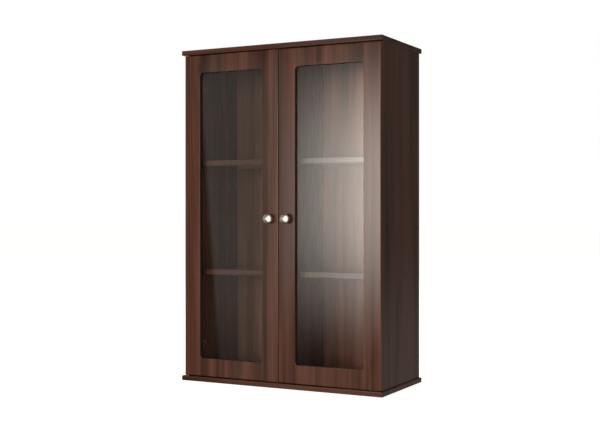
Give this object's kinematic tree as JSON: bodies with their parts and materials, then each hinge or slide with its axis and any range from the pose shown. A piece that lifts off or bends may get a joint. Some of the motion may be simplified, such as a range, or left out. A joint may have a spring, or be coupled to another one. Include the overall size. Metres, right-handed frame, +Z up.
{
  "type": "china_cabinet",
  "caption": "China cabinet with framed glass doors, dark walnut boards, inner shelves and round satin knobs.",
  "frame": {"origin": "middle of the bottom board's underside, on the surface the cabinet stands on", "axes": "+X to the right seen from the front, -Y out of the doors, +Z up"},
  "size_m": [0.694, 0.3365, 1.05],
  "materials": {
    "walnut_board": "dark walnut grain foil on particle board, satin",
    "walnut_door": "dark reddish walnut grain foil wrapped over routed board, satin",
    "back_hardboard": "dark walnut printed hardboard, satin",
    "clear_glass": "clear float glass",
    "bead_plastic": "dark brown plastic retaining bead",
    "bumper_silicone": "translucent soft pad",
    "satin_nickel": "satin nickel plated zinc",
    "nickel_steel": "nickel plated pressed steel",
    "zinc_steel": "zinc plated steel",
    "beech_dowel": "plain beech dowel"
  },
  "bodies": {
    "root": {"back_panel": "back_hardboard", "bottom_board": "walnut_board", "cam_bolts": "zinc_steel", "cam_locks": "zinc_steel", "centre_partition": "walnut_board", "dowels": "beech_dowel", "hinge_arm_lower_left": "nickel_steel", "hinge_arm_lower_right": "nickel_steel", "hinge_arm_pins_left": "zinc_steel", "hinge_arm_pins_right": "zinc_steel", "hinge_arm_screws_left": "zinc_steel", "hinge_arm_screws_right": "zinc_steel", "hinge_arm_upper_left": "nickel_steel", "hinge_arm_upper_right": "nickel_steel", "hinge_plate_lower_left": "nickel_steel", "hinge_plate_lower_right": "nickel_steel", "hinge_plate_screws_left": "zinc_steel", "hinge_plate_screws_right": "zinc_steel", "hinge_plate_upper_left": "nickel_steel", "hinge_plate_upper_right": "nickel_steel", "shelf_lower_left": "walnut_board", "shelf_lower_right": "walnut_board", "shelf_pins_lower_left": "zinc_steel", "shelf_pins_lower_right": "zinc_steel", "shelf_pins_upper_left": "zinc_steel", "shelf_pins_upper_right": "zinc_steel", "shelf_upper_left": "walnut_board", "shelf_upper_right": "walnut_board", "side_panel_left": "walnut_board", "side_panel_right": "walnut_board", "top_board": "walnut_board"},
    "left_hinge_links": {"hinge_link_lower_left": "nickel_steel", "hinge_link_upper_left": "nickel_steel"},
    "left_door": {"door_bumpers_left": "bumper_silicone", "door_frame_left": "walnut_door", "glass_pane_left": "clear_glass", "glazing_beads_left": "bead_plastic", "hinge_cup_lower_left": "nickel_steel", "hinge_cup_pins_left": "zinc_steel", "hinge_cup_screws_left": "zinc_steel", "hinge_cup_upper_left": "nickel_steel", "knob_left": "satin_nickel", "knob_screw_left": "zinc_steel"},
    "right_hinge_links": {"hinge_link_lower_right": "nickel_steel", "hinge_link_upper_right": "nickel_steel"},
    "right_door": {"door_bumpers_right": "bumper_silicone", "door_frame_right": "walnut_door", "glass_pane_right": "clear_glass", "glazing_beads_right": "bead_plastic", "hinge_cup_lower_right": "nickel_steel", "hinge_cup_pins_right": "zinc_steel", "hinge_cup_screws_right": "zinc_steel", "hinge_cup_upper_right": "nickel_steel", "knob_right": "satin_nickel", "knob_screw_right": "zinc_steel"}
  },
  "joints": [
    {"name": "left_hinge_link_turn", "type": "hinge", "parent": "root", "child": "left_hinge_links", "pos_m": [-0.311, -0.138, 0.525], "axis": [0, 0, 1], "range_deg": [0, 47.75]},
    {"name": "left_door_swing", "type": "hinge", "parent": "left_hinge_links", "child": "left_door", "pos_m": [-0.328, -0.134, 0.525], "axis": [0, 0, -1], "range_deg": [0, 152.25]},
    {"name": "right_hinge_link_turn", "type": "hinge", "parent": "root", "child": "right_hinge_links", "pos_m": [0.311, -0.138, 0.525], "axis": [0, 0, -1], "range_deg": [0, 47.75]},
    {"name": "right_door_swing", "type": "hinge", "parent": "right_hinge_links", "child": "right_door", "pos_m": [0.328, -0.134, 0.525], "axis": [0, 0, 1], "range_deg": [0, 152.25]}
  ],
  "couplings": [
    {"joint": "left_hinge_link_turn", "follows": "left_door_swing", "ratio": 0.31034},
    {"joint": "right_hinge_link_turn", "follows": "right_door_swing", "ratio": 0.31034}
  ]
}
